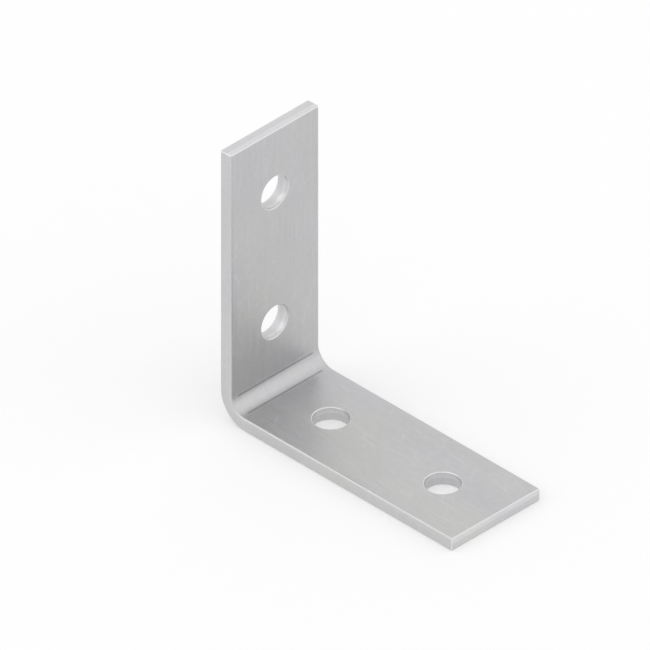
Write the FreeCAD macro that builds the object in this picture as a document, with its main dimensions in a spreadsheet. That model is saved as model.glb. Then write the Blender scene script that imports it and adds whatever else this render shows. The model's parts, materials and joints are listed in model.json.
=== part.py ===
import FreeCAD
import Part
import math
import os
import Sketcher

# A four-hole angle fitting: one length of steel flat bar, sheared to length, punched with two bolt
# holes at each end and bent square across the middle.
#
# The base leg lies along +X, and the upright leg stands along +Z at the heel. Y runs across the
# bar, and the fitting is the same on both sides of Y = 0. The origin is on the underside of the
# base leg, midway between its two holes.

# Driving dimensions, in millimetres: name, size and what it measures.
SIZES = (
    ("bar_width", 40.0, "width of the flat bar"),
    ("bar_thickness", 5.0, "thickness of the flat bar"),
    ("base_length", 105.0, "base leg, from the back of the upright to the toe"),
    ("upright_length", 105.0, "upright leg, from the underside of the base to the top"),
    ("bend_radius", 6.0, "inside radius of the bend"),
    ("hole_diameter", 12.0, "bolt hole"),
    ("hole_pitch", 50.8, "distance between the two holes of a leg"),
    ("hole_end_distance", 24.0, "centre of the last hole to the end of its leg"),
    ("mill_round", 0.8, "rounding of the bar's rolled long edges"),
    ("shear_round", 0.3, "rounding of the sheared ends"),
    ("punch_round", 0.4, "rolled-over rim where the punch went in, on the inner faces"),
    ("break_round", 0.2, "deburred rim where the punch came out, on the outer faces"),
)
PART_NAME = "angle_fitting"
HOLES_PER_LEG = 2

# Places that follow from the driving dimensions, as expressions for the features.
TOE_X = "sizes.hole_pitch / 2 + sizes.hole_end_distance"
HEEL_X = f"{TOE_X} - sizes.base_length"
BASE_HOLE_X = "-sizes.hole_pitch / 2"
UPRIGHT_HOLE_Z = "sizes.upright_length - sizes.hole_end_distance - sizes.hole_pitch"

# Where each leg's holes go: the leg, the plane its outer face is parallel to and how far from it
# that face lies, the first hole's centre along a sketch axis, and the body's axis along the row.
HOLE_ROWS = (
    ("Base", "XY_Plane", "0", "DistanceX", BASE_HOLE_X, "X_Axis"),
    ("Upright", "YZ_Plane", HEEL_X, "DistanceY", UPRIGHT_HOLE_Z, "Z_Axis"),
)

# The largest share of the bar's thickness that a rounding may take.
ROUND_LIMIT = 0.45
# Two places closer together than this are the same place.
NEAR = 1e-4
# The share of its holes' plain volume that a leg's punching takes away at the very least.
CUT_SHARE = 0.99

# The numbers that a sketch gives to its origin, its X axis and the points of a line or an arc.
ORIGIN = (-1, 1)
X_AXIS = -1
START = 1
END = 2
CENTRE = 3


def make_sheet(doc):
    """The spreadsheet that every feature takes its sizes from."""
    sheet = doc.addObject("Spreadsheet::Sheet", "sizes")
    for row, (name, size, meaning) in enumerate(SIZES, start=1):
        sheet.set(f"A{row}", meaning)
        sheet.set(f"B{row}", str(size))
        sheet.setAlias(f"B{row}", name)
    doc.recompute()
    return sheet


def origin_feature(body, role):
    """One of the body's own planes or axes, such as XZ_Plane."""
    return next(f for f in body.Origin.OriginFeatures if f.Role == role)


def new_sketch(body, name, plane):
    """An empty sketch on one of the body's own planes."""
    sketch = body.newObject("Sketcher::SketchObject", name)
    sketch.AttachmentSupport = [(origin_feature(body, plane), "")]
    sketch.MapMode = "FlatFace"
    return sketch


def constrain(sketch, kind, *where):
    """Adds a constraint that carries no size."""
    sketch.addConstraint(Sketcher.Constraint(kind, *where))


def drive(sketch, name, expression, kind, *where):
    """Adds a named constraint whose size follows an expression on the sheet.

    The last entry of where is the size that the geometry was drawn with.
    """
    index = sketch.addConstraint(Sketcher.Constraint(kind, *where))
    sketch.renameConstraint(index, name)
    sketch.setExpression(f"Constraints.{name}", expression)


def side_profile(body, sheet):
    """The bent bar seen from the side: two legs joined by two arcs about one centre."""
    thick = sheet.bar_thickness
    toe = sheet.hole_pitch / 2 + sheet.hole_end_distance
    heel = toe - sheet.base_length
    top = sheet.upright_length
    inside = sheet.bend_radius
    outside = inside + thick
    sketch = new_sketch(body, "SideProfile", "XZ_Plane")

    def line(start_x, start_z, end_x, end_z):
        start = FreeCAD.Vector(start_x, start_z, 0)
        end = FreeCAD.Vector(end_x, end_z, 0)
        return sketch.addGeometry(Part.LineSegment(start, end))

    def quarter(radius):
        """The lower left quarter of a circle about the bend's centre."""
        centre = FreeCAD.Vector(heel + outside, outside, 0)
        circle = Part.Circle(centre, FreeCAD.Vector(0, 0, 1), radius)
        return sketch.addGeometry(Part.ArcOfCircle(circle, math.pi, 1.5 * math.pi))

    underside = line(heel + outside, 0, toe, 0)
    toe_end = line(toe, 0, toe, thick)
    base_top = line(toe, thick, heel + outside, thick)
    inner_arc = quarter(inside)
    front = line(heel + thick, outside, heel + thick, top)
    top_end = line(heel + thick, top, heel, top)
    back = line(heel, top, heel, outside)
    outer_arc = quarter(outside)

    for first, second in ((underside, toe_end), (toe_end, base_top), (front, top_end), (top_end, back)):
        constrain(sketch, "Coincident", first, END, second, START)
    constrain(sketch, "Tangent", base_top, END, inner_arc, END)
    constrain(sketch, "Tangent", inner_arc, START, front, START)
    constrain(sketch, "Tangent", back, END, outer_arc, START)
    constrain(sketch, "Tangent", outer_arc, END, underside, START)
    constrain(sketch, "Coincident", inner_arc, CENTRE, outer_arc, CENTRE)
    for level in (base_top, top_end):
        constrain(sketch, "Horizontal", level)
    for plumb in (toe_end, front):
        constrain(sketch, "Vertical", plumb)
    for point in (START, END):
        constrain(sketch, "PointOnObject", underside, point, X_AXIS)

    toe_foot = (toe_end, START)
    drive(sketch, "thickness", "sizes.bar_thickness", "DistanceY", *toe_foot, toe_end, END, thick)
    drive(sketch, "bend", "sizes.bend_radius", "Radius", inner_arc, inside)
    drive(sketch, "toe", TOE_X, "DistanceX", *ORIGIN, *toe_foot, toe)
    drive(sketch, "base", "sizes.base_length", "DistanceX", top_end, END, *toe_foot, toe - heel)
    drive(sketch, "upright", "sizes.upright_length", "DistanceY", *toe_foot, top_end, END, top)
    return sketch


def bent_bar(body, sheet):
    """The whole bent bar before it is punched, as wide as the stock."""
    sketch = side_profile(body, sheet)
    pad = body.newObject("PartDesign::Pad", "BentBar")
    pad.Profile = sketch
    pad.SideType = "Symmetric"
    pad.setExpression("Length", "sizes.bar_width")
    sketch.Visibility = False
    body.Document.recompute()
    return pad


def punched_row(body, sheet, before, leg, plane, outer_face, way, first_hole, along):
    """The solid before it with one leg's bolt holes punched through, from one of HOLE_ROWS."""
    sketch = new_sketch(body, f"{leg}Hole", plane)
    sketch.setExpression("AttachmentOffset.Base.z", outer_face)
    radius = sheet.hole_diameter / 2
    circle = sketch.addGeometry(Part.Circle(FreeCAD.Vector(), FreeCAD.Vector(0, 0, 1), radius))
    across = {"DistanceX": "DistanceY", "DistanceY": "DistanceX"}[way]
    constrain(sketch, across, *ORIGIN, circle, CENTRE, 0.0)
    drive(sketch, "place", first_hole, way, *ORIGIN, circle, CENTRE, 0.0)
    drive(sketch, "bolt", "sizes.hole_diameter", "Diameter", circle, 2 * radius)

    punch = body.newObject("PartDesign::Pocket", f"{leg}Punch")
    punch.Profile = sketch
    punch.Type = "ThroughAll"
    punch.Reversed = True
    sketch.Visibility = False

    row = body.newObject("PartDesign::LinearPattern", f"{leg}Holes")
    row.Originals = [punch]
    row.Direction = (origin_feature(body, along), [""])
    row.Mode = "Extent"
    row.setExpression("Length", "sizes.hole_pitch")
    row.Occurrences = HOLES_PER_LEG
    body.Tip = row
    body.Document.recompute()

    holes = HOLES_PER_LEG * math.pi * radius**2 * sheet.bar_thickness
    taken = before.Shape.Volume - row.Shape.Volume
    if taken < CUT_SHARE * holes:
        raise RuntimeError(f"{row.Name} took only {taken:.1f} cubic mm away")
    return row


def edges_where(shape, test):
    """The names of a shape's edges for which the test holds at both ends and in the middle."""
    names = []
    for number, edge in enumerate(shape.Edges, start=1):
        middle = edge.valueAt((edge.FirstParameter + edge.LastParameter) / 2)
        points = [vertex.Point for vertex in edge.Vertexes] + [middle]
        if all(test(point) for point in points):
            names.append(f"Edge{number}")
    return names


def rims_at(shape, heel, level):
    """The names of the hole rims that lie a given height over the outer faces of the two legs."""
    names = []
    for number, edge in enumerate(shape.Edges, start=1):
        if not isinstance(edge.Curve, Part.Circle) or not edge.isClosed():
            continue
        centre = edge.Curve.Center
        if abs(centre.z - level) < NEAR or abs(centre.x - heel - level) < NEAR:
            names.append(f"Edge{number}")
    return names


def rounded(body, name, before, edge_names, size):
    """The solid before it with the named edges rounded, as far as the bar's thickness allows."""
    fillet = body.newObject("PartDesign::Fillet", name)
    fillet.Base = (before, edge_names)
    fillet.setExpression("Radius", f"min({size}; {ROUND_LIMIT} * sizes.bar_thickness)")
    body.Tip = fillet
    body.Document.recompute()
    return fillet


def rounded_edges(body, sheet, bar, punched):
    """The roundings that rolling, shearing and punching leave on the bar's edges."""
    box = bar.Shape.BoundBox

    def on_a_side(point):
        return abs(abs(point.y) - box.YMax) < NEAR

    def at_an_end(point):
        return abs(point.x - box.XMax) < NEAR or abs(point.z - box.ZMax) < NEAR

    ends = edges_where(punched.Shape, at_an_end)
    long_edges = [name for name in edges_where(punched.Shape, on_a_side) if name not in ends]
    step = rounded(body, "RolledEdges", punched, long_edges, "sizes.mill_round")
    ends = edges_where(step.Shape, at_an_end)
    step = rounded(body, "ShearedEnds", step, ends, "sizes.shear_round")
    rims = rims_at(step.Shape, box.XMin, sheet.bar_thickness)
    step = rounded(body, "PunchedRims", step, rims, "sizes.punch_round")
    rims = rims_at(step.Shape, box.XMin, 0.0)
    return rounded(body, "BrokenRims", step, rims, "sizes.break_round")


def angle_fitting(doc, sheet):
    """The fitting as one body: a bent bar, its holes and its rounded edges."""
    body = doc.addObject("PartDesign::Body", PART_NAME)
    body.Label = PART_NAME
    bar = bent_bar(body, sheet)
    step = bar
    for hole_row in HOLE_ROWS:
        step = punched_row(body, sheet, step, *hole_row)
    rounded_edges(body, sheet, bar, step)
    return body


def check(doc, bodies):
    """Stops if any object failed to build, or if a body isn't one sound solid."""
    for item in doc.Objects:
        if "Invalid" in item.State or "Error" in item.State:
            raise RuntimeError(f"{item.Name} failed to build: {item.State}")
    for body in bodies:
        shape = body.Shape
        if shape.isNull() or not shape.isValid() or len(shape.Solids) != 1:
            raise RuntimeError(f"{body.Label} is not one sound solid")


def main():
    doc = FreeCAD.newDocument("strut_angle_fitting")
    sheet = make_sheet(doc)
    bodies = [angle_fitting(doc, sheet)]
    doc.recompute()
    check(doc, bodies)
    os.makedirs("parts", exist_ok=True)
    for body in bodies:
        body.Shape.exportStep(f"parts/{body.Label}.step")
        print(f"{body.Label}: {body.Shape.Volume / 1000:.2f} cubic cm, {len(body.Shape.Faces)} faces")


main()
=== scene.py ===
import json
import math

import bpy
import numpy as np
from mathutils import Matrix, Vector, noise


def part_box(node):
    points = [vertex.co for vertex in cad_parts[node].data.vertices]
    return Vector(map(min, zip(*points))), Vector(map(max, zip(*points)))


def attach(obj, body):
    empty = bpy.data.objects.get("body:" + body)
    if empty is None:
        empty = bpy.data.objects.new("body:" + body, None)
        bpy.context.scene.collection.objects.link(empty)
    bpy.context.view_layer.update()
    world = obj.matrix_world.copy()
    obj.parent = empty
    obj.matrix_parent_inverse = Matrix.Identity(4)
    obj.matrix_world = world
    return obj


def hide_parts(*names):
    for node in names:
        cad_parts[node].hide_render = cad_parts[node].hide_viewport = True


# A four-hole angle fitting, made the way the real one is: a length of flat bar is laid out flat,
# with rolled long edges, sheared ends and punched holes, and then bent square over a punch.
# On the flat blank, s runs from the toe to the top of the upright, v across the bar, and w through
# its thickness, from the outer face at 0 to the inner face. Everything is in metres.

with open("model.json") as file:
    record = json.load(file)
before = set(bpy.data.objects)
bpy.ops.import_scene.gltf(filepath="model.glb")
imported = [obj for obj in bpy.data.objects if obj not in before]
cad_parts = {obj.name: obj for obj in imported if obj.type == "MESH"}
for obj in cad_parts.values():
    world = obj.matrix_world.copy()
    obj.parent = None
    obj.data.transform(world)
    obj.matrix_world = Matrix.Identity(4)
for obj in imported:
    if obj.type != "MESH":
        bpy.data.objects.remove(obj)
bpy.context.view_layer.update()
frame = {"record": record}

MM = 0.001
NODE = "angle_fitting"

# Sizes and places that the frame gives.
MOUNTS = {mount["name"]: mount for mount in frame["record"]["mounts"]}
LOW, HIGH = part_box(NODE)
HEEL_X = LOW.x
TOE_X = HIGH.x
TOP_Z = HIGH.z
HALF_WIDTH = HIGH.y
THICKNESS = MOUNTS["base_head_seat"]["pos_m"][2]
HOLE_RADIUS = MOUNTS["base_bolts"]["dims"]["hole_r_mm"] * MM
HALF_PITCH = MOUNTS["base_bolts"]["dims"]["spacing_x_mm"] * MM / 2
UPRIGHT_HOLES_Z = MOUNTS["upright_bolts"]["pos_m"][2]

# The bend, and the blank's length along the middle of the bar's thickness.
BEND_RADIUS = 6.0 * MM
OUTER_RADIUS = BEND_RADIUS + THICKNESS
MIDDLE_RADIUS = BEND_RADIUS + THICKNESS / 2
BEND_START = TOE_X - HEEL_X - OUTER_RADIUS
BEND_END = BEND_START + MIDDLE_RADIUS * math.pi / 2
BLANK_LENGTH = BEND_END + TOP_Z - OUTER_RADIUS
BEND_MIDDLE = (BEND_START + BEND_END) / 2
BEND_LENGTH = BEND_END - BEND_START
HOLES_S = (
    TOE_X - HALF_PITCH,
    TOE_X + HALF_PITCH,
    BLANK_LENGTH - TOP_Z + UPRIGHT_HOLES_Z - HALF_PITCH,
    BLANK_LENGTH - TOP_Z + UPRIGHT_HOLES_Z + HALF_PITCH,
)

# The roundings that rolling, shearing and punching leave: on the long edges, on the ends, on the
# rims where the punch went in and on those where it came out.
MILL_ROUND = 0.8 * MM
SHEAR_ROUND = 0.3 * MM
PUNCH_ROUND = 0.4 * MM
BREAK_ROUND = 0.2 * MM

# A cut is smooth from the inner face down for a share of the thickness, and torn below that border,
# where a hole widens and an end slants in. Beside an end the inner face droops within a reach, and
# the look of the cut starts to fade and is gone within the rounding.
BURNISH_SHARE = 0.42
TORN_BORDER = THICKNESS * (1 - BURNISH_SHARE)
BREAKOUT = 0.12 * MM
SHEAR_SLANT = 0.12 * MM
SHEAR_DROOP = 0.10 * MM
SHEAR_REACH = 0.5 * MM
END_FADE = (0.4 * SHEAR_ROUND, SHEAR_ROUND)

# How deep and how coarse the roughness of the torn metal is, and how far from the border it is full.
TORN_DEPTH = 0.035 * MM
TORN_GRAIN = 0.9 * MM
TORN_BLEND = 0.5 * MM

# How far the inner corner of the bend bulges out past the bar's edges and the outer one draws in,
# where along the bend that starts to fade and is gone, and how far in from the edges it reaches.
INNER_BULGE = 0.25 * MM
OUTER_DRAW = 0.17 * MM
BULGE_LENGTH = (0.1 * BEND_LENGTH, 0.65 * BEND_LENGTH)
BULGE_REACH = 4.0 * MM

# The marks that the tools leave at the bend: lines near its two tangents that stop short of the
# bar's edges, rubbed lines on the outer faces, further along each leg, and between them the skin
# that the bend has stretched. A pair gives where a mark starts to fade and where it is gone.
MARK_FROM_MIDDLE = MIDDLE_RADIUS * math.radians(32)
MARK_WIDTH = (0.2 * MM, 0.75 * MM)
MARK_LENGTH = (16.3 * MM, 17.3 * MM)
RUB_FROM_MIDDLE = 19.0 * MM
RUB_WIDTH = (0.2 * MM, 0.9 * MM)
STRETCHED_LENGTH = (0.3 * BEND_LENGTH, 0.6 * BEND_LENGTH)
SKIN_DEPTH = (0.5 * MM, 1.0 * MM)
MARK_PATCHES = (0.75, 1.0)
RUB_PATCHES = (0.3, 1.0)

# Where the painted lighter sides, the worn edges with a painted highlight and the torn cuts fade, and
# how raggedly.
SIDE_FADE = (0.1 * MILL_ROUND, 0.5 * MILL_ROUND)
WEAR_AND_HIGHLIGHT_FADE = (0.15 * MM, 0.5 * MM)
WEAR_AND_HIGHLIGHT_RAGGED = 0.1 * MM
TORN_FADE = (-0.05 * MM, 0.1 * MM)
TORN_RAGGED = 0.25 * MM

# The finish: its colour, what a warm place adds to it and a cool one takes away, and its satin.
ZINC_COLOUR = (0.545, 0.545, 0.55)
ZINC_WARMTH = (0.005, 0.004, -0.008)
ZINC_ROUGHNESS = 0.40
BUMP_HEIGHT = 0.006 * MM

# Its textures: how large their lumps are along the bar, across it and through it, and how much
# finer detail is in them. Noise from 0 to 1 mostly keeps within its span.
TEXTURES = {
    "tint": ((40 * MM, 26 * MM, 40 * MM), 2.0),
    "cloud": ((24 * MM, 17 * MM, 24 * MM), 2.0),
    "mottle": ((2.6 * MM, 2.0 * MM, 2.6 * MM), 3.0),
    "streak": ((30 * MM, 0.8 * MM, 0.8 * MM), 3.0),
    "grain": ((0.4 * MM, 0.4 * MM, 0.4 * MM), 1.0),
}
NOISE_SPAN = (0.25, 0.75)
WHOLE_SPAN = (-1.0, 1.0)

# Its scratches, by their angle to the bar in degrees, their length and their width, and how high
# in the noise they begin and are full.
SCRATCHES = (
    (3, 22 * MM, 0.45 * MM),
    (-12, 13 * MM, 0.4 * MM),
    (31, 9 * MM, 0.35 * MM),
    (-57, 10 * MM, 0.4 * MM),
    (78, 7 * MM, 0.45 * MM),
)
SCRATCH_PEAKS = (0.755, 0.83)

# What each layer of the finish and of the painted light adds to the brightness, to the roughness and
# to the bumps.
BRIGHTNESS = {
    "cloud": 0.025,
    "mottle": 0.03,
    "streak": 0.03,
    "scratch": 0.07,
    # Painted light: the long sides are lightened as if the light fell brighter on them.
    "side": 0.10,
    # Wear on the edges, with a painted highlight line along them.
    "wear_and_highlight": 0.08,
    # The cuts' own lighter tone, with a painted highlight on the ends and in the hole walls.
    "cut": 0.27,
    "torn": -0.08,
    "mark": -0.38,
    "stretched": -0.03,
    "rub": 0.05,
}
DULLNESS = {
    "cloud": 0.03,
    "mottle": 0.04,
    "streak": 0.04,
    "scratch": -0.08,
    "wear_and_highlight": -0.08,
    "torn": 0.12,
    "stretched": 0.05,
    "rub": -0.07,
}
RELIEF = {
    "mottle": 0.35,
    "streak": 0.2,
    "grain": 0.2,
    "torn_grain": 1.5,
    "stretched_grain": 0.6,
    "scratch": -0.8,
    "mark": -2.0,
}

# The mesh: the size of its cells on the faces and in the holes, and the square patch round each
# hole: how many cells wide it is, how many rings lead from it in to the hole, and at what angle
# from the hole's axis lies the corner that they start from.
CELL = 0.875 * MM
WALL_CELL = CELL / 2
PATCH_CELLS = 24
PATCH_HALF = PATCH_CELLS * CELL / 2
PATCH_RINGS = 6
PATCH_CORNER = math.radians(-135)

# The steps round the bend and round each edge, how close beside an edge a grid line supports the
# flat faces, and how close two points are to be one vertex.
BEND_STEPS = 32
ARC_STEPS = 5
SUPPORT = 0.05 * MM
WELD = 0.001 * MM


# Laying out the flat blank

def lines_through(stops, cell=CELL):
    """Grid lines through every stop, about a cell apart between them."""
    lines = [stops[0]]
    for start, stop in zip(stops, stops[1:]):
        count = max(1, round((stop - start) / cell))
        lines += [start + (stop - start) * step / count for step in range(1, count + 1)]
    return lines


def stations():
    """The grid lines across the blank, from end to end."""
    stops = [BEND_START + BEND_LENGTH * step / BEND_STEPS for step in range(BEND_STEPS + 1)]
    for hole in HOLES_S:
        stops += [hole - PATCH_HALF, hole + PATCH_HALF]
    for depth in (SHEAR_ROUND, SHEAR_ROUND + SUPPORT):
        stops += [depth, BLANK_LENGTH - depth]
    return lines_through(sorted(stops))


def lanes():
    """The grid lines along the blank's flat faces, from edge to edge."""
    edge = HALF_WIDTH - MILL_ROUND
    return lines_through([-edge, SUPPORT - edge, -PATCH_HALF, PATCH_HALF, edge - SUPPORT, edge])


def quarter_turn():
    """The sines and cosines of a quarter turn in even steps."""
    angles = [math.pi / 2 * step / ARC_STEPS for step in range(ARC_STEPS + 1)]
    return [(math.sin(angle), math.cos(angle)) for angle in angles]


def rolled_edge(inset=0.0):
    """The bar's long edge in section, as (v, w) from the inner face to the outer, moved inwards."""
    radius = MILL_ROUND - inset
    centre = HALF_WIDTH - MILL_ROUND
    low, high = MILL_ROUND, THICKNESS - MILL_ROUND
    upper = [(centre + radius * sin, high + radius * cos) for sin, cos in quarter_turn()]
    lower = [(v, THICKNESS - w) for v, w in reversed(upper)]
    levels = lines_through([low, low + SUPPORT, high - SUPPORT, high])
    return upper + [(HALF_WIDTH - inset, w) for w in reversed(levels[1:-1])] + lower


def section(inset=0.0):
    """The bar's whole outline in section, as a closed loop of (v, w), moved inwards."""
    edge = rolled_edge(inset)
    across = lanes()
    inner = [(v, THICKNESS - inset) for v in across]
    outer = [(v, inset) for v in reversed(across)]
    left = [(-v, w) for v, w in reversed(edge)]
    return inner[:-1] + edge[:-1] + outer[:-1] + left


def punched_wall():
    """A hole's wall in section, as (radius, w) from the face the punch entered to the other."""
    wide = HOLE_RADIUS + BREAKOUT
    entry = [
        (HOLE_RADIUS + PUNCH_ROUND * (1 - sin), THICKNESS - PUNCH_ROUND * (1 - cos))
        for sin, cos in quarter_turn()
    ]
    burnish = [
        (HOLE_RADIUS, w)
        for w in lines_through([THICKNESS - PUNCH_ROUND, TORN_BORDER], WALL_CELL)
    ]
    drop = TORN_BORDER - BREAK_ROUND
    torn = [
        (wide - BREAKOUT * ((w - BREAK_ROUND) / drop) ** 2, w)
        for w in lines_through([TORN_BORDER, BREAK_ROUND], WALL_CELL)
    ]
    leaving = [
        (wide + BREAK_ROUND * (1 - sin), BREAK_ROUND * (1 - cos))
        for sin, cos in reversed(quarter_turn())
    ]
    first = (entry[0][0] + SUPPORT, THICKNESS)
    last = (leaving[-1][0] + SUPPORT, 0.0)
    return [first] + entry + burnish[1:] + torn[1:] + leaving[1:] + [last]


class Skin:
    """A mesh in the blank's coordinates, whose sheets share their vertices wherever they meet."""

    def __init__(self):
        self.numbers = {}
        self.points = []
        self.faces = []

    def vertex(self, point):
        """The number of the vertex at a point, which is added if there is none yet."""
        key = tuple(round(value / WELD) for value in point)
        if key not in self.numbers:
            self.numbers[key] = len(self.points)
            self.points.append(point)
        return self.numbers[key]

    def sheet(self, rows, left_out=lambda corner: False):
        """Fills a grid of points with quads, apart from the cells whose low corner is left out."""
        for lower, upper in zip(rows, rows[1:]):
            for a, b, c, d in zip(lower, lower[1:], upper[1:], upper):
                if not left_out(a):
                    self.faces.append([self.vertex(point) for point in (a, b, c, d)])


def in_a_patch(corner):
    """Whether a cell of a flat face lies in the square that is kept for a hole."""
    s, v, _ = corner
    low, high = -PATCH_HALF - WELD, PATCH_HALF - WELD
    return low < v < high and any(low < s - hole < high for hole in HOLES_S)


def hole_rings(hole, along, across):
    """Rings of points from the patch round a hole, through the hole and out to the other patch."""
    ss = [s for s in along if abs(s - hole) < PATCH_HALF + WELD]
    vs = [v for v in across if abs(v) < PATCH_HALF + WELD]
    square = [(s, vs[0]) for s in ss[:-1]] + [(ss[-1], v) for v in vs[:-1]]
    square += [(s, vs[-1]) for s in ss[:0:-1]] + [(ss[0], v) for v in vs[:0:-1]]
    turns = [PATCH_CORNER + math.tau * step / len(square) for step in range(len(square))]

    def circle(radius):
        """As many points round the hole as the square has."""
        return [(hole + radius * math.cos(turn), radius * math.sin(turn)) for turn in turns]

    def face_rings(radius, w):
        """Rings on a flat face, from the square to the circle."""
        rings = []
        for step in range(PATCH_RINGS):
            share = step / PATCH_RINGS
            rings.append([
                (a + (c - a) * share, b + (d - b) * share, w)
                for (a, b), (c, d) in zip(square, circle(radius))
            ])
        return rings

    wall = punched_wall()
    rows = face_rings(wall[0][0], THICKNESS)
    rows += [[(s, v, w) for s, v in circle(radius)] for radius, w in wall]
    rows += reversed(face_rings(wall[-1][0], 0.0))
    return [row + row[:1] for row in rows]


def sheared_end(skin, place):
    """One sheared end: its rounded outline and its flat. place turns a distance in into an s."""
    rounding = [(SHEAR_ROUND * (1 - sin), SHEAR_ROUND * (1 - cos)) for sin, cos in quarter_turn()]
    rounding.append((0.0, SHEAR_ROUND + SUPPORT))
    skin.sheet([[(place(depth), v, w) for v, w in section(inset)] for depth, inset in rounding])
    edge = rolled_edge(SHEAR_ROUND + SUPPORT)
    widest = edge[0][0]
    skin.sheet([[(place(0.0), v * side / widest, w) for v in lanes()] for side, w in edge])


def flat_blank():
    """The whole skin of the blank before it is bent."""
    skin = Skin()
    along = stations()
    across = lanes()
    for w in (0.0, THICKNESS):
        skin.sheet([[(s, v, w) for v in across] for s in along], in_a_patch)
    for hole in HOLES_S:
        skin.sheet(hole_rings(hole, along, across))
    for side in (-1, 1):
        skin.sheet([[(s, side * v, w) for v, w in rolled_edge()] for s in along])
    sheared_end(skin, lambda depth: depth)
    sheared_end(skin, lambda depth: BLANK_LENGTH - depth)
    return skin


# Working the blank: what the shear, the punch and the bend do to its points

def smooth(low, high, values):
    """Runs smoothly from 0 at low to 1 at high."""
    share = np.clip((values - low) / (high - low), 0, 1)
    return share * share * (3 - 2 * share)


def end_distance(points):
    """How far each point is from the nearer end of the blank."""
    return np.minimum(points[:, 0], BLANK_LENGTH - points[:, 0])


def way_in(points):
    """The way in from the nearer end, which is 1 from the toe and -1 from the top."""
    return np.where(points[:, 0] < BLANK_LENGTH / 2, 1.0, -1.0)


def hole_distance(points):
    """How far each point is from the wall of the nearest hole."""
    from_axes = [np.hypot(points[:, 0] - hole, points[:, 1]) for hole in HOLES_S]
    return np.maximum(0, np.min(from_axes, axis=0) - HOLE_RADIUS)


def cut_mask(points):
    """1 where a point is on a sheared end or a punched wall, and 0 on the bar's own skin."""
    end = 1 - smooth(*END_FADE, end_distance(points))
    wall = 1 - smooth(BREAKOUT, BREAKOUT + PUNCH_ROUND, hole_distance(points))
    return np.maximum(end, wall)


def torn_mask(points):
    """1 where the metal tore rather than being cut, which is below the border."""
    return cut_mask(points) * (1 - smooth(TORN_BORDER - TORN_BLEND, TORN_BORDER, points[:, 2]))


def roughened(points):
    """Moves the torn metal a little in and out, along the way that each surface faces."""
    bumps = np.array([noise.noise(Vector(point) / TORN_GRAIN) for point in points])
    depth = TORN_DEPTH * bumps * torn_mask(points)
    moved = points.copy()
    for hole in HOLES_S:
        away = points[:, :2] - np.array([hole, 0.0])
        radius = np.hypot(*away.T)
        wall = radius < HOLE_RADIUS + BREAKOUT + PUNCH_ROUND
        moved[wall, :2] += away[wall] / radius[wall, None] * depth[wall, None]
    at_end = end_distance(points) < SHEAR_ROUND
    moved[at_end, 0] += way_in(points)[at_end] * (depth[at_end] + TORN_DEPTH)
    return moved


def sheared(points):
    """Draws the inner face down over each sheared end, and slants the torn part of the end in."""
    reach = np.exp(-end_distance(points) / SHEAR_REACH)
    height = points[:, 2] / THICKNESS
    slant = 1 - smooth(0.0, 1 - BURNISH_SHARE, height)
    moved = points.copy()
    moved[:, 2] -= SHEAR_DROOP * reach * height**3
    moved[:, 0] += SHEAR_SLANT * reach * slant * way_in(points)
    return moved


def bulged(points):
    """Spreads the inner corner of the bend past the bar's edges, and draws the outer one in."""
    from_edge = HALF_WIDTH - np.abs(points[:, 1])
    along = 1 - smooth(*BULGE_LENGTH, np.abs(points[:, 0] - BEND_MIDDLE))
    outwards = (INNER_BULGE + OUTER_DRAW) * points[:, 2] / THICKNESS - OUTER_DRAW
    moved = points.copy()
    moved[:, 1] += np.sign(points[:, 1]) * outwards * along * np.exp(-from_edge / BULGE_REACH)
    return moved


def bent(points):
    """Carries the blank's points to their places on the bent fitting, in the row's frame."""
    s, v, w = points.T
    turn = np.clip((s - BEND_START) / MIDDLE_RADIUS, 0, math.pi / 2)
    radius = OUTER_RADIUS - w
    x = HEEL_X + OUTER_RADIUS - radius * np.sin(turn) + np.maximum(0, BEND_START - s)
    z = OUTER_RADIUS - radius * np.cos(turn) + np.maximum(0, s - BEND_END)
    return np.stack([x, v, z], axis=1)


def set_attribute(mesh, name, kind, values):
    """Stores one value for each vertex, for the material to read."""
    attribute = mesh.attributes.new(name, kind, "POINT")
    field = "vector" if kind == "FLOAT_VECTOR" else "value"
    attribute.data.foreach_set(field, np.asarray(values, np.float32).ravel())


def bent_plate():
    """The fitting's visible skin as one object."""
    skin = flat_blank()
    flat = np.array(skin.points)
    places = bent(bulged(sheared(roughened(flat))))
    mesh = bpy.data.meshes.new("bent_plate")
    mesh.from_pydata(places.tolist(), [], skin.faces)
    set_attribute(mesh, "blank", "FLOAT_VECTOR", flat)
    set_attribute(mesh, "cut", "FLOAT", cut_mask(flat))
    set_attribute(mesh, "hole", "FLOAT", hole_distance(flat))
    mesh.validate()
    plate = bpy.data.objects.new("bent_plate", mesh)
    bpy.context.scene.collection.objects.link(plate)
    bpy.context.view_layer.objects.active = plate
    plate.select_set(True)
    bpy.ops.object.mode_set(mode="EDIT")
    bpy.ops.mesh.select_all(action="SELECT")
    bpy.ops.mesh.normals_make_consistent(inside=False)
    bpy.ops.object.mode_set(mode="OBJECT")
    mesh.shade_smooth()
    return plate


# Materials

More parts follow.
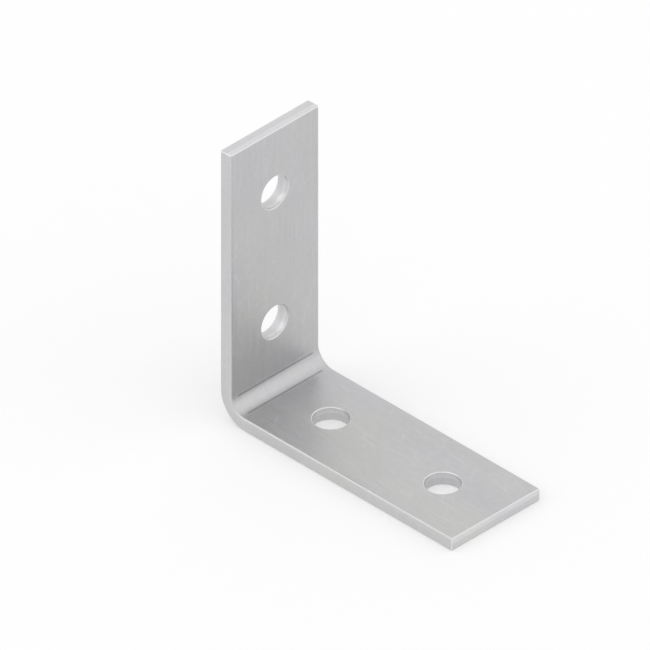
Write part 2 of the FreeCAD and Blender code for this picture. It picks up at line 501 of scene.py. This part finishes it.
class Nodes:
    """Adds nodes to a node tree and joins them up."""

    def __init__(self, tree):
        self.tree = tree
        tree.nodes.clear()

    def add(self, kind, inputs=None, **settings):
        """A node with its settings, and with each named input set to a value or joined to a socket."""
        node = self.tree.nodes.new(kind)
        for name, value in settings.items():
            setattr(node, name, value)
        for name, value in (inputs or {}).items():
            if isinstance(value, bpy.types.NodeSocket):
                self.tree.links.new(value, node.inputs[name])
            else:
                node.inputs[name].default_value = value
        return node

    def maths(self, operation, *values):
        """What an operation makes of numbers or sockets."""
        inputs = dict(enumerate(values))
        return self.add("ShaderNodeMath", inputs, operation=operation).outputs[0]

    def vector_maths(self, operation, *values):
        """What an operation makes of vectors or sockets."""
        inputs = dict(enumerate(values))
        return self.add("ShaderNodeVectorMath", inputs, operation=operation).outputs[0]

    def product(self, first, *others):
        """All the values multiplied together."""
        for other in others:
            first = self.maths("MULTIPLY", first, other)
        return first

    def distance(self, value, other):
        """How far apart two values are."""
        return self.maths("ABSOLUTE", self.maths("SUBTRACT", value, other))

    def weighted(self, start, layers, weights):
        """The start plus each layer times its weight."""
        for name, weight in weights.items():
            start = self.maths("MULTIPLY_ADD", layers[name], weight, start)
        return start

    def ramp(self, value, edges, ends=(0.0, 1.0)):
        """Runs smoothly from one end to the other as the value goes from one edge to the other."""
        inputs = dict(enumerate((value, *edges, *ends)))
        return self.add("ShaderNodeMapRange", inputs, interpolation_type="SMOOTHSTEP").outputs[0]

    def within(self, value, edges):
        """1 up to the first edge, and 0 from the second on."""
        return self.ramp(value, edges, (1.0, 0.0))

    def lumps(self, place, size, detail, degrees=0.0):
        """Noise from 0 to 1, in lumps of a size that lie some degrees off the length of the bar."""
        turn = {"Vector": place, "Angle": math.radians(degrees)}
        turned = self.add("ShaderNodeVectorRotate", turn, rotation_type="Z_AXIS").outputs[0]
        scaled = self.vector_maths("MULTIPLY", turned, [1 / length for length in size])
        inputs = {"Vector": scaled, "Scale": 1.0, "Detail": detail}
        return self.add("ShaderNodeTexNoise", inputs).outputs[0]

    def noise(self, place, size, detail):
        """The same noise from -1 to 1, along the bar."""
        return self.ramp(self.lumps(place, size, detail), NOISE_SPAN, WHOLE_SPAN)

    def scratches(self, place, degrees, length, width):
        """Sparse straight scratches: 1 in a scratch and 0 off it."""
        return self.ramp(self.lumps(place, (length, width, width), 0.0, degrees), SCRATCH_PEAKS)

    def attribute(self, name, output):
        """A value that the mesh stores, by its name and by the socket that gives it."""
        return self.add("ShaderNodeAttribute", attribute_name=name).outputs[output]


def finish_layers(nodes, blank):
    """What the bar and its plating show all over: clouds, mottling, streaks, grain and scratches."""
    layers = {name: nodes.noise(blank, *texture) for name, texture in TEXTURES.items()}
    layers["scratch"] = 0.0
    for strokes in SCRATCHES:
        layers["scratch"] = nodes.maths("ADD", nodes.scratches(blank, *strokes), layers["scratch"])
    return layers


def edge_layers(nodes, place, mottle):
    """The long sides, painted lighter, and the edges, worn bright and given a painted highlight."""
    s, v, w = place
    side_gap = nodes.maths("SUBTRACT", HALF_WIDTH, nodes.maths("ABSOLUTE", v))
    end_gap = nodes.maths("MINIMUM", s, nodes.maths("SUBTRACT", BLANK_LENGTH, s))
    face_gap = nodes.maths("MINIMUM", w, nodes.maths("SUBTRACT", THICKNESS, w))
    hole_gap = nodes.attribute("hole", "Fac")
    rim_gap = nodes.maths("MINIMUM", hole_gap, nodes.maths("MINIMUM", side_gap, end_gap))
    edge_gap = nodes.maths(
        "MINIMUM",
        nodes.maths("MAXIMUM", rim_gap, face_gap),
        nodes.maths("MAXIMUM", side_gap, end_gap),
    )
    ragged_gap = nodes.maths("MULTIPLY_ADD", mottle, WEAR_AND_HIGHLIGHT_RAGGED, edge_gap)
    return {"side": nodes.within(side_gap, SIDE_FADE), "wear_and_highlight": nodes.within(ragged_gap, WEAR_AND_HIGHLIGHT_FADE)}


def cut_layers(nodes, place, mottle, grain):
    """The sheared and punched surfaces, and the part of them that tore, with a ragged border."""
    # The cut surfaces get their own lighter tone and a painted highlight from this mask.
    cut = nodes.attribute("cut", "Fac")
    border = nodes.maths("MULTIPLY_ADD", mottle, TORN_RAGGED, TORN_BORDER)
    torn = nodes.product(cut, nodes.ramp(nodes.maths("SUBTRACT", border, place[2]), TORN_FADE))
    return {"cut": cut, "torn": torn, "torn_grain": nodes.product(torn, grain)}


def bend_layers(nodes, place, mottle, grain):
    """The punch's two lines inside the bend, the stretched skin outside it, and the die's rubs."""
    s, v, w = place
    from_middle = nodes.distance(s, BEND_MIDDLE)
    inside = nodes.within(nodes.maths("SUBTRACT", THICKNESS, w), SKIN_DEPTH)
    outside = nodes.within(w, SKIN_DEPTH)
    mark = nodes.product(
        inside,
        nodes.within(nodes.distance(from_middle, MARK_FROM_MIDDLE), MARK_WIDTH),
        nodes.within(nodes.maths("ABSOLUTE", v), MARK_LENGTH),
        nodes.ramp(mottle, WHOLE_SPAN, MARK_PATCHES),
    )
    rub = nodes.product(
        outside,
        nodes.within(nodes.distance(from_middle, RUB_FROM_MIDDLE), RUB_WIDTH),
        nodes.ramp(mottle, WHOLE_SPAN, RUB_PATCHES),
    )
    stretched = nodes.product(outside, nodes.within(from_middle, STRETCHED_LENGTH))
    return {
        "mark": mark,
        "rub": rub,
        "stretched": stretched,
        "stretched_grain": nodes.product(stretched, grain),
    }


def zinc_plated_steel():
    """Satin zinc over hot rolled bar: cloudy, faintly streaked along the bar, dull where it tore."""
    material = bpy.data.materials.new("zinc_plated_steel")
    material.use_nodes = True
    nodes = Nodes(material.node_tree)
    blank = nodes.attribute("blank", "Vector")
    place = nodes.add("ShaderNodeSeparateXYZ", {0: blank}).outputs
    layers = finish_layers(nodes, blank)
    mottle, grain = layers["mottle"], layers["grain"]
    layers |= edge_layers(nodes, place, mottle)
    layers |= cut_layers(nodes, place, mottle, grain)
    layers |= bend_layers(nodes, place, mottle, grain)

    tinted = nodes.vector_maths("MULTIPLY_ADD", layers["tint"], ZINC_WARMTH, ZINC_COLOUR)
    # The brightness holds painted light: lighter long sides, a highlight along the edges and on the
    # cuts.
    shade = nodes.weighted(1.0, layers, BRIGHTNESS)
    height = nodes.weighted(0.0, layers, RELIEF)
    bump = nodes.add("ShaderNodeBump", {"Height": height, "Distance": BUMP_HEIGHT, "Strength": 1.0})
    inputs = {
        "Base Color": nodes.vector_maths("MULTIPLY", tinted, shade),
        "Metallic": 1.0,
        "Roughness": nodes.weighted(ZINC_ROUGHNESS, layers, DULLNESS),
        "Normal": bump.outputs[0],
    }
    surface = nodes.add("ShaderNodeBsdfPrincipled", inputs)
    nodes.add("ShaderNodeOutputMaterial", {"Surface": surface.outputs[0]})
    return material


# The stage

# The floor and how much it glows where it is seen, and how strongly the white world lights things.
FLOOR_SIZE = 6.0
FLOOR_COLOUR = (0.8, 0.8, 0.8, 1)
FLOOR_LIFT = 0.275
WORLD_FILL = 0.8
WHITE = (1, 1, 1, 1)

# The lamps, by the direction that each shines from and its strength, and how wide they are.
LAMPS = {"key": ((-0.35, -0.75, 0.95), 0.32), "corner": ((0.6, 0.6, 0.6), 0.12)}
LAMP_SPREAD = math.radians(60)


def seen_directly(nodes):
    """1 for what is seen straight, in a reflection or through glass, and 0 for scattered light."""
    path = nodes.add("ShaderNodeLightPath").outputs
    seen = nodes.maths("MAXIMUM", path["Is Camera Ray"], path["Is Glossy Ray"])
    return nodes.maths("MAXIMUM", seen, path["Is Transmission Ray"])


def pale_floor():
    """A pale floor that shows white where it is fully lit, and can be seen through from below."""
    bpy.ops.mesh.primitive_plane_add(size=FLOOR_SIZE)
    floor = bpy.context.object
    floor.name = "floor"
    material = bpy.data.materials.new("floor")
    material.use_nodes = True
    nodes = Nodes(material.node_tree)
    diffuse = nodes.add("ShaderNodeBsdfDiffuse", {"Color": FLOOR_COLOUR})
    lift = nodes.product(seen_directly(nodes), FLOOR_LIFT)
    glow = nodes.add("ShaderNodeEmission", {"Color": WHITE, "Strength": lift})
    lit = nodes.add("ShaderNodeAddShader", {0: diffuse.outputs[0], 1: glow.outputs[0]})
    below = nodes.add("ShaderNodeNewGeometry").outputs["Backfacing"]
    clear = nodes.add("ShaderNodeBsdfTransparent")
    mix = nodes.add("ShaderNodeMixShader", {0: below, 1: lit.outputs[0], 2: clear.outputs[0]})
    nodes.add("ShaderNodeOutputMaterial", {"Surface": mix.outputs[0]})
    floor.data.materials.append(material)


def white_world():
    """White wherever it is seen, and a softer light on what it falls on."""
    world = bpy.data.worlds.new("studio")
    world.use_nodes = True
    nodes = Nodes(world.node_tree)
    strength = nodes.maths("MAXIMUM", seen_directly(nodes), WORLD_FILL)
    background = nodes.add("ShaderNodeBackground", {"Color": WHITE, "Strength": strength})
    nodes.add("ShaderNodeOutputWorld", {"Surface": background.outputs[0]})
    bpy.context.scene.world = world


def soft_lights():
    """Wide soft lamps, each of which falls evenly on everything from its direction."""
    for name, (direction, strength) in LAMPS.items():
        light = bpy.data.lights.new(name, "SUN")
        light.angle = LAMP_SPREAD
        light.energy = strength
        lamp = bpy.data.objects.new(name, light)
        lamp.rotation_euler = Vector(direction).to_track_quat("Z", "Y").to_euler()
        bpy.context.scene.collection.objects.link(lamp)


# The camera

# The directions of an isometric view, the image's side, and where in it the drawing has the row's
# origin, with the drawing's scale along each of the three axes.
AZIMUTH = math.radians(45)
ELEVATION = math.asin(1 / math.sqrt(3))
IMAGE_SIDE_PX = 650
AXIS_PX_PER_MM = 2.549
ORIGIN_PX = (386.8, 463.3)
CAMERA_DISTANCE = 1.5


def isometric_camera():
    """The drawing's own view: an isometric one, with the row's origin where the drawing has it."""
    back = Vector((
        math.sin(AZIMUTH) * math.cos(ELEVATION),
        -math.cos(AZIMUTH) * math.cos(ELEVATION),
        math.sin(ELEVATION),
    ))
    turn = (-back).to_track_quat("-Z", "Y")
    right = turn @ Vector((1, 0, 0))
    up = turn @ Vector((0, 1, 0))
    metres_per_px = math.cos(ELEVATION) * MM / AXIS_PX_PER_MM
    across, down = (place - IMAGE_SIDE_PX / 2 for place in ORIGIN_PX)
    data = bpy.data.cameras.new("camera")
    data.type = "ORTHO"
    data.ortho_scale = IMAGE_SIDE_PX * metres_per_px
    camera = bpy.data.objects.new("camera", data)
    camera.rotation_mode = "QUATERNION"
    camera.rotation_quaternion = turn
    camera.location = metres_per_px * (down * up - across * right) + CAMERA_DISTANCE * back
    bpy.context.scene.collection.objects.link(camera)
    bpy.context.scene.camera = camera


def main():
    """The camera, the fitting in its place and its finish, and the stage."""
    isometric_camera()
    plate = bent_plate()
    plate.data.materials.append(zinc_plated_steel())
    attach(plate, "root")
    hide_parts(NODE)
    pale_floor()
    white_world()
    soft_lights()
    bpy.context.scene.view_settings.view_transform = "Standard"


main()
